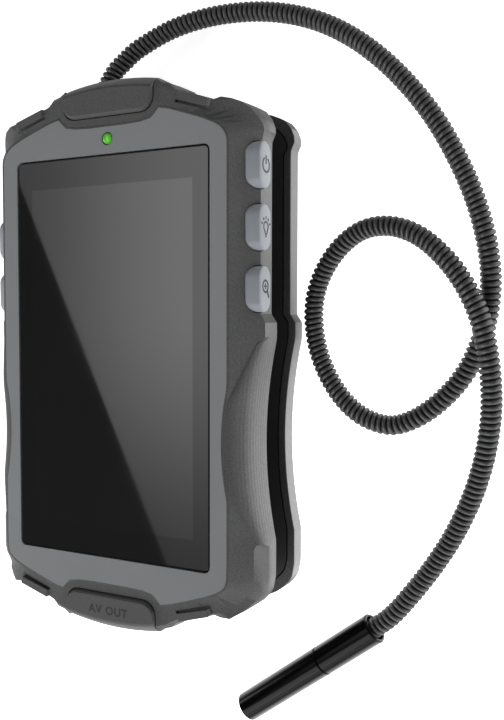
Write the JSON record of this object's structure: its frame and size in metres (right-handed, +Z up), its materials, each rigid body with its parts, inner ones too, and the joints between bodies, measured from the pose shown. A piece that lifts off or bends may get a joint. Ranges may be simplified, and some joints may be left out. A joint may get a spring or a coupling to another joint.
{
  "type": "inspection camera",
  "caption": "Handheld inspection camera: display unit with rubber overmould, side buttons and a winding groove, ribbed gooseneck and slim camera head.",
  "frame": {"origin": "centre of the display unit's footprint, on the surface that it lies on, back down", "axes": "+X to the right of the display, +Y towards the end that the gooseneck leaves, +Z up out of the display"},
  "size_m": [0.1471, 0.2057, 0.0316],
  "materials": {
    "grey_plastic": "fine matte, cool mid grey",
    "charcoal_rubber": "fine matte grain",
    "black_plastic": "matte black moulding",
    "case_plastic": "fine matte black",
    "smoked_glass": "polished, dark",
    "lcd_glass": "dark panel, switched off",
    "green_lens": "translucent green lens, lit",
    "light_grey_plastic": "satin, printed with a dark pictogram",
    "circuit_board": "solder mask",
    "steel": "plated",
    "battery_sleeve": "shrink sleeve",
    "gooseneck_skin": "helical ribs, satin black",
    "dark_chrome": "polished, dark"
  },
  "bodies": {
    "unit": {"front_bezel": "grey_plastic", "display_window": "smoked_glass", "lcd_panel": "lcd_glass", "status_led": "green_lens", "front_overmould": "charcoal_rubber", "front_case": "black_plastic", "right_switch_board": "circuit_board", "left_switch_board": "circuit_board", "power_switch": "black_plastic", "light_switch": "black_plastic", "zoom_switch": "black_plastic", "rotate_switch": "black_plastic", "mirror_switch": "black_plastic", "video_socket": "black_plastic", "card_socket": "steel", "main_board": "circuit_board", "rear_case": "case_plastic", "rear_bumper": "charcoal_rubber", "battery_1": "battery_sleeve", "battery_2": "battery_sleeve", "battery_3": "battery_sleeve", "battery_4": "battery_sleeve", "battery_contact_top": "steel", "battery_contact_bottom": "steel", "case_screw_1": "steel", "case_screw_2": "steel", "case_screw_3": "steel", "case_screw_4": "steel", "cable_gland": "black_plastic", "gooseneck": "gooseneck_skin", "head_sleeve": "dark_chrome", "head_barrel": "dark_chrome", "head_window": "smoked_glass", "lens_module": "black_plastic", "led_ring": "circuit_board"},
    "power_button": {"power_button": "light_grey_plastic"},
    "light_button": {"light_button": "light_grey_plastic"},
    "zoom_button": {"zoom_button": "light_grey_plastic"},
    "rotate_button": {"rotate_button": "light_grey_plastic"},
    "mirror_button": {"mirror_button": "light_grey_plastic"},
    "video_port_cover": {"video_port_cover": "charcoal_rubber"},
    "card_port_cover": {"card_port_cover": "charcoal_rubber"},
    "battery_door": {"battery_door": "case_plastic"}
  },
  "joints": [
    {"name": "power_button_press", "type": "slide", "parent": "unit", "child": "power_button", "axis": [-1, 0, 0], "range_m": [0, 0.0006], "stiffness_N_per_m": 3000},
    {"name": "light_button_press", "type": "slide", "parent": "unit", "child": "light_button", "axis": [-1, 0, 0], "range_m": [0, 0.0006], "stiffness_N_per_m": 3000},
    {"name": "zoom_button_press", "type": "slide", "parent": "unit", "child": "zoom_button", "axis": [-1, 0, 0], "range_m": [0, 0.0006], "stiffness_N_per_m": 3000},
    {"name": "rotate_button_press", "type": "slide", "parent": "unit", "child": "rotate_button", "axis": [1, 0, 0], "range_m": [0, 0.0006], "stiffness_N_per_m": 3000},
    {"name": "mirror_button_press", "type": "slide", "parent": "unit", "child": "mirror_button", "axis": [1, 0, 0], "range_m": [0, 0.0006], "stiffness_N_per_m": 3000},
    {"name": "video_port_cover_hinge", "type": "hinge", "parent": "unit", "child": "video_port_cover", "pos_m": [0, -0.0671, 0.0305], "axis": [-1, 0, 0], "range_deg": [0, 86]},
    {"name": "card_port_cover_hinge", "type": "hinge", "parent": "unit", "child": "card_port_cover", "pos_m": [0, 0.0671, 0.0305], "axis": [1, 0, 0], "range_deg": [0, 86]},
    {"name": "battery_door_hinge", "type": "hinge", "parent": "unit", "child": "battery_door", "pos_m": [0, -0.0527, 0.0009], "axis": [-1, 0, 0], "range_deg": [0, 95]}
  ]
}
